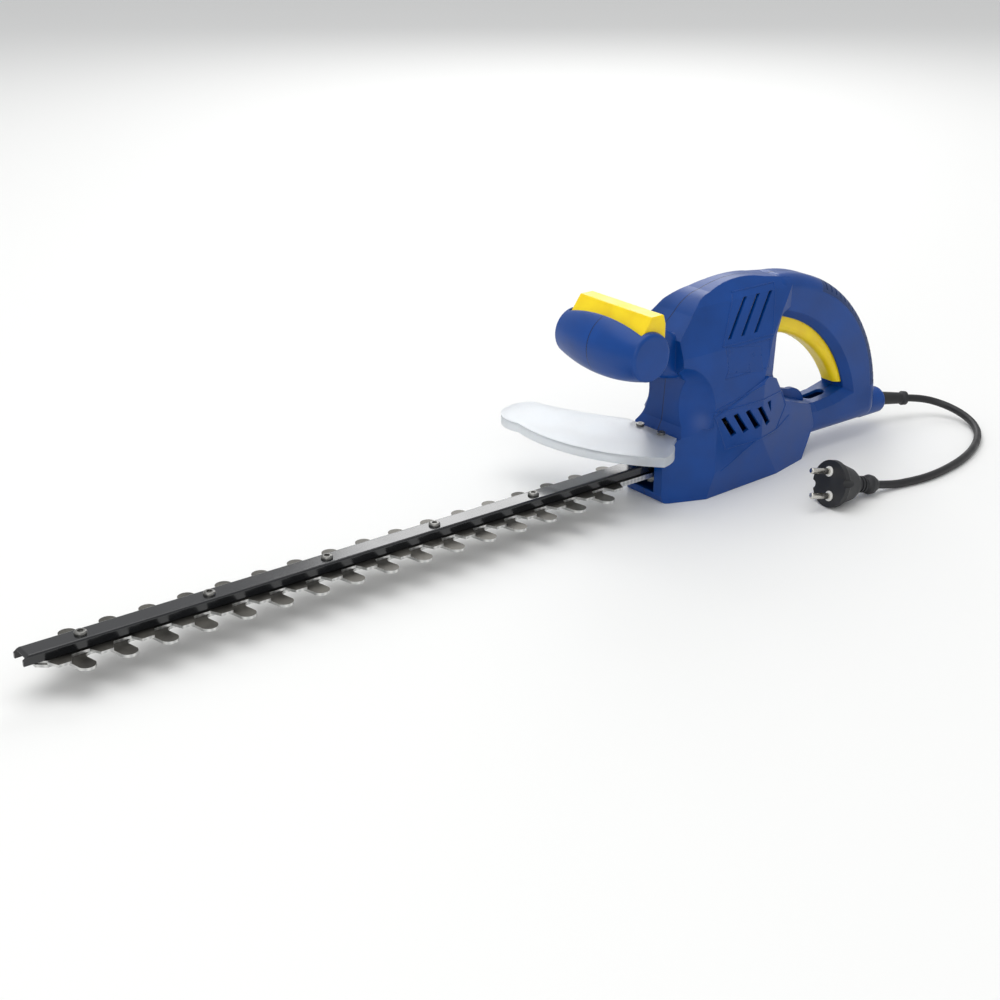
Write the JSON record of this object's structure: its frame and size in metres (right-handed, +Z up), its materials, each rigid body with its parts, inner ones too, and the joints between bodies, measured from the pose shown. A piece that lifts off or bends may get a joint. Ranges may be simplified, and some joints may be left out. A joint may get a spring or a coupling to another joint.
{
  "type": "hedge trimmer",
  "caption": "Corded electric hedge trimmer with a clamshell motor housing, D handle, front T handle with switch bar, clear guard and double-sided toothed blade.",
  "frame": {"origin": "middle of the flat base, on the parting plane between the housing halves", "axes": "+Z up, the blades point along -X, the left half of the housing and the plug are on -Y"},
  "size_m": [0.8477, 0.2305, 0.1647],
  "materials": {
    "blue_plastic": "moulded, fine spark texture",
    "yellow_plastic": "moulded, smooth",
    "grip_rubber": "soft overmoulded grip, matt",
    "clear_plastic": "clear, lightly frosted",
    "black_steel": "black enamel over folded steel",
    "blade_steel": "blued, oiled and ground steel",
    "bright_steel": "zinc plated or ground",
    "case_alloy": "die cast, as cast",
    "gear_steel": "hobbed and greased",
    "bronze": "sintered bronze",
    "laminated_steel": "stamped electrical sheet",
    "enamelled_copper": "enamelled winding wire",
    "copper_bars": "turned copper segments",
    "carbon": "pressed carbon",
    "black_plastic": "moulded",
    "cord_rubber": "extruded, matt",
    "white_plastic": "moulded",
    "nickel": "nickel plated brass"
  },
  "bodies": {
    "housing": {"housing_left": "blue_plastic", "housing_right": "blue_plastic", "housing_screws": "bright_steel", "front_switch_springs": "bright_steel", "front_microswitch": "black_plastic", "trigger_spring": "bright_steel", "trigger_pin": "bright_steel", "rear_microswitch": "black_plastic", "hand_guard": "clear_plastic", "guard_screws": "bright_steel", "comb_blade": "blade_steel", "blade_bar": "black_steel", "blade_bolts": "bright_steel", "blade_nuts": "bright_steel", "blade_spacers": "bright_steel", "gear_bush": "bronze", "gear_case": "case_alloy", "gear_case_floor": "bright_steel", "gear_case_screws": "bright_steel", "stator_core": "laminated_steel", "field_coils": "enamelled_copper", "brush_holders": "bronze", "carbon_brushes": "carbon", "brush_springs": "bright_steel", "suppressor_capacitor": "white_plastic", "terminal_block": "white_plastic", "cord_clamp": "black_plastic", "clamp_screws": "bright_steel", "cord_tail": "cord_rubber", "cord_sleeve": "cord_rubber", "mains_cord": "cord_rubber", "plug_body": "black_plastic", "plug_pin_collars": "white_plastic", "plug_pins": "nickel", "lower_bearing": "bright_steel", "upper_bearing": "bright_steel", "rear_grip_left": "grip_rubber", "rear_grip_right": "grip_rubber", "cord_hook": "blue_plastic", "label_plate": "blue_plastic"},
    "switch_bar": {"front_switch_bar": "yellow_plastic"},
    "trigger": {"rear_trigger": "yellow_plastic"},
    "cutter": {"cutter_blade": "blade_steel"},
    "gear_train": {"drive_gear": "gear_steel", "crank_pin": "gear_steel", "gear_shaft": "gear_steel"},
    "armature": {"armature_core": "laminated_steel", "armature_windings": "enamelled_copper", "commutator": "copper_bars", "armature_shaft": "gear_steel", "pinion": "gear_steel", "cooling_fan": "black_plastic"}
  },
  "joints": [
    {"name": "gear_spin", "type": "hinge", "parent": "housing", "child": "gear_train", "pos_m": [-0.03, 0, 0.0365], "axis": [0, 0, 1], "continuous": true},
    {"name": "armature_spin", "type": "hinge", "parent": "housing", "child": "armature", "pos_m": [-0.002, 0, 0.09], "axis": [0, 0, 1], "continuous": true},
    {"name": "cutter_slide", "type": "slide", "parent": "housing", "child": "cutter", "axis": [1, 0, 0], "range_m": [-0.008, 0.008]},
    {"name": "trigger_press", "type": "hinge", "parent": "housing", "child": "trigger", "pos_m": [0.057, 0, 0.133], "axis": [0, -1, 0], "range_deg": [0, 3.5], "stiffness_Nm_per_rad": 0.6, "springref_deg": -11.46},
    {"name": "switch_bar_press", "type": "slide", "parent": "housing", "child": "switch_bar", "axis": [0, 0, -1], "range_m": [0, 0.004], "stiffness_N_per_m": 500, "springref_m": -0.004, "deforming": ["front_switch_springs"]}
  ],
  "couplings": [
    {"joint": "armature_spin", "follows": "gear_spin", "ratio": -4.6}
  ]
}
